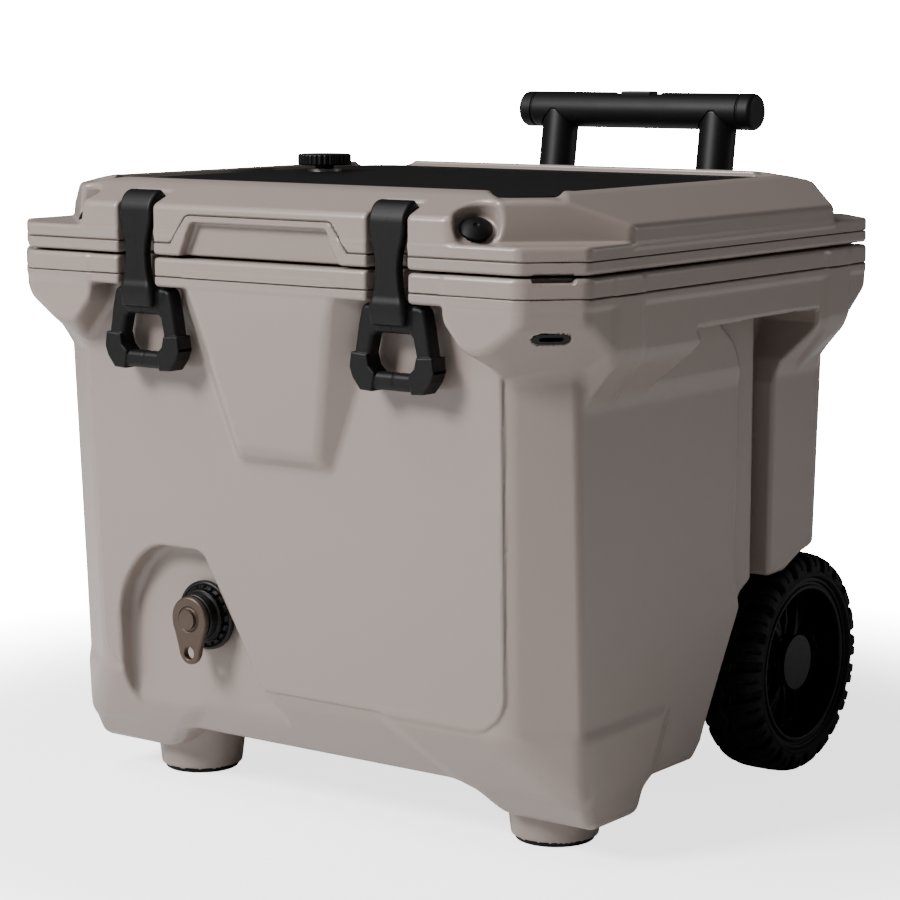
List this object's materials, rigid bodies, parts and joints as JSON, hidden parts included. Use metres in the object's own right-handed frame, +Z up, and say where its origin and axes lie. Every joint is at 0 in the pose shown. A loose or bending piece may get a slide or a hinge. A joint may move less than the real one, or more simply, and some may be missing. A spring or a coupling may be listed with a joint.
{
  "type": "wheeled cooler",
  "caption": "Hard-sided insulated cooler with a hinged lid, rubber pull-down latches, telescopic tow handle, rear wheels, front feet and a corner drain tap.",
  "frame": {"origin": "on the floor, under the centre of the whole object's box", "axes": "+Z up; -Y is the front with the latches and the tap, +Y the back with the handle and wheels; +X is to the right along the front"},
  "size_m": [0.6, 0.5996, 0.6148],
  "materials": {
    "body_plastic": "satin rotomoulded polyethylene",
    "liner_plastic": "satin moulded polypropylene",
    "foam": "rigid polyurethane foam",
    "dark_rubber": "matt moulded rubber",
    "mat_rubber": "fine ribbed matt rubber",
    "seal_rubber": "soft matt rubber",
    "black_plastic": "fine textured nylon",
    "rim_plastic": "satin moulded nylon",
    "tyre_rubber": "moulded tread rubber",
    "black_anodised": "satin black anodised",
    "stainless": "brushed stainless",
    "bronze_metal": "satin dark bronze"
  },
  "bodies": {
    "cooler_body": {"body_shell": "body_plastic", "inner_liner": "liner_plastic", "body_foam": "foam", "tie_down_inserts": "black_plastic", "hinge_brackets": "black_plastic", "hinge_pins": "stainless", "hinge_screws": "stainless", "lower_tubes": "black_anodised", "tube_bezels": "black_plastic", "handle_housing": "black_plastic", "housing_screws": "stainless", "axle": "stainless", "axle_clips": "stainless", "axle_bushes": "black_plastic", "axle_washers": "stainless", "foot_pads": "dark_rubber", "foot_screws": "stainless", "tap_seal": "seal_rubber", "tap_body": "black_plastic", "tap_nut": "black_plastic"},
    "lid": {"lid_shell": "body_plastic", "lid_pan": "liner_plastic", "lid_foam": "foam", "lid_mat": "mat_rubber", "lid_gasket": "seal_rubber", "lid_bumpers": "dark_rubber", "latch_pins": "stainless", "vent_base": "stainless", "vent_seal": "seal_rubber", "vent_nut": "black_plastic"},
    "left_latch": {"latch_left": "dark_rubber"},
    "right_latch": {"latch_right": "dark_rubber"},
    "vent": {"vent_knob": "black_plastic", "vent_stem": "stainless"},
    "handle_middle": {"middle_tubes": "black_anodised", "middle_collars": "black_plastic"},
    "handle": {"handle_grip": "dark_rubber", "handle_yoke": "black_anodised", "upper_tubes": "black_anodised", "button_spring": "stainless"},
    "button": {"release_button": "black_plastic"},
    "left_wheel": {"tyre_left": "tyre_rubber", "rim_left": "rim_plastic", "hub_cap_left": "black_plastic"},
    "right_wheel": {"tyre_right": "tyre_rubber", "rim_right": "rim_plastic", "hub_cap_right": "black_plastic"},
    "tap": {"tap_lever": "bronze_metal", "tap_screw": "bronze_metal"}
  },
  "joints": [
    {"name": "lid_hinge", "type": "hinge", "parent": "cooler_body", "child": "lid", "pos_m": [0, 0.2107, 0.518], "axis": [-1, 0, 0], "range_deg": [0, 95]},
    {"name": "left_latch_hinge", "type": "hinge", "parent": "lid", "child": "left_latch", "pos_m": [-0.1335, -0.2843, 0.5285], "axis": [-1, 0, 0], "range_deg": [0, 110]},
    {"name": "right_latch_hinge", "type": "hinge", "parent": "lid", "child": "right_latch", "pos_m": [0.1335, -0.2843, 0.5285], "axis": [-1, 0, 0], "range_deg": [0, 110]},
    {"name": "vent_turn", "type": "hinge", "parent": "lid", "child": "vent", "pos_m": [-0.189, 0.0247, 0.541], "axis": [0, 0, 1], "range_deg": [0, 180]},
    {"name": "handle_slide", "type": "slide", "parent": "cooler_body", "child": "handle", "axis": [0, 0.1495, 0.9888], "range_m": [0, 0.4]},
    {"name": "middle_slide", "type": "slide", "parent": "cooler_body", "child": "handle_middle", "axis": [0, 0.1495, 0.9888], "range_m": [0, 0.2]},
    {"name": "button_press", "type": "slide", "parent": "handle", "child": "button", "axis": [0, 0, -1], "range_m": [0, 0.004], "stiffness_N_per_m": 700, "springref_m": -0.002, "deforming": ["button_spring"]},
    {"name": "left_wheel_spin", "type": "hinge", "parent": "cooler_body", "child": "left_wheel", "pos_m": [-0.237, 0.1557, 0.101], "axis": [1, 0, 0], "continuous": true},
    {"name": "right_wheel_spin", "type": "hinge", "parent": "cooler_body", "child": "right_wheel", "pos_m": [0.237, 0.1557, 0.101], "axis": [1, 0, 0], "continuous": true},
    {"name": "tap_turn", "type": "hinge", "parent": "cooler_body", "child": "tap", "pos_m": [-0.107, -0.2653, 0.168], "axis": [0, -1, 0], "range_deg": [0, 90]}
  ],
  "couplings": [
    {"joint": "middle_slide", "follows": "handle_slide", "ratio": 0.5}
  ]
}
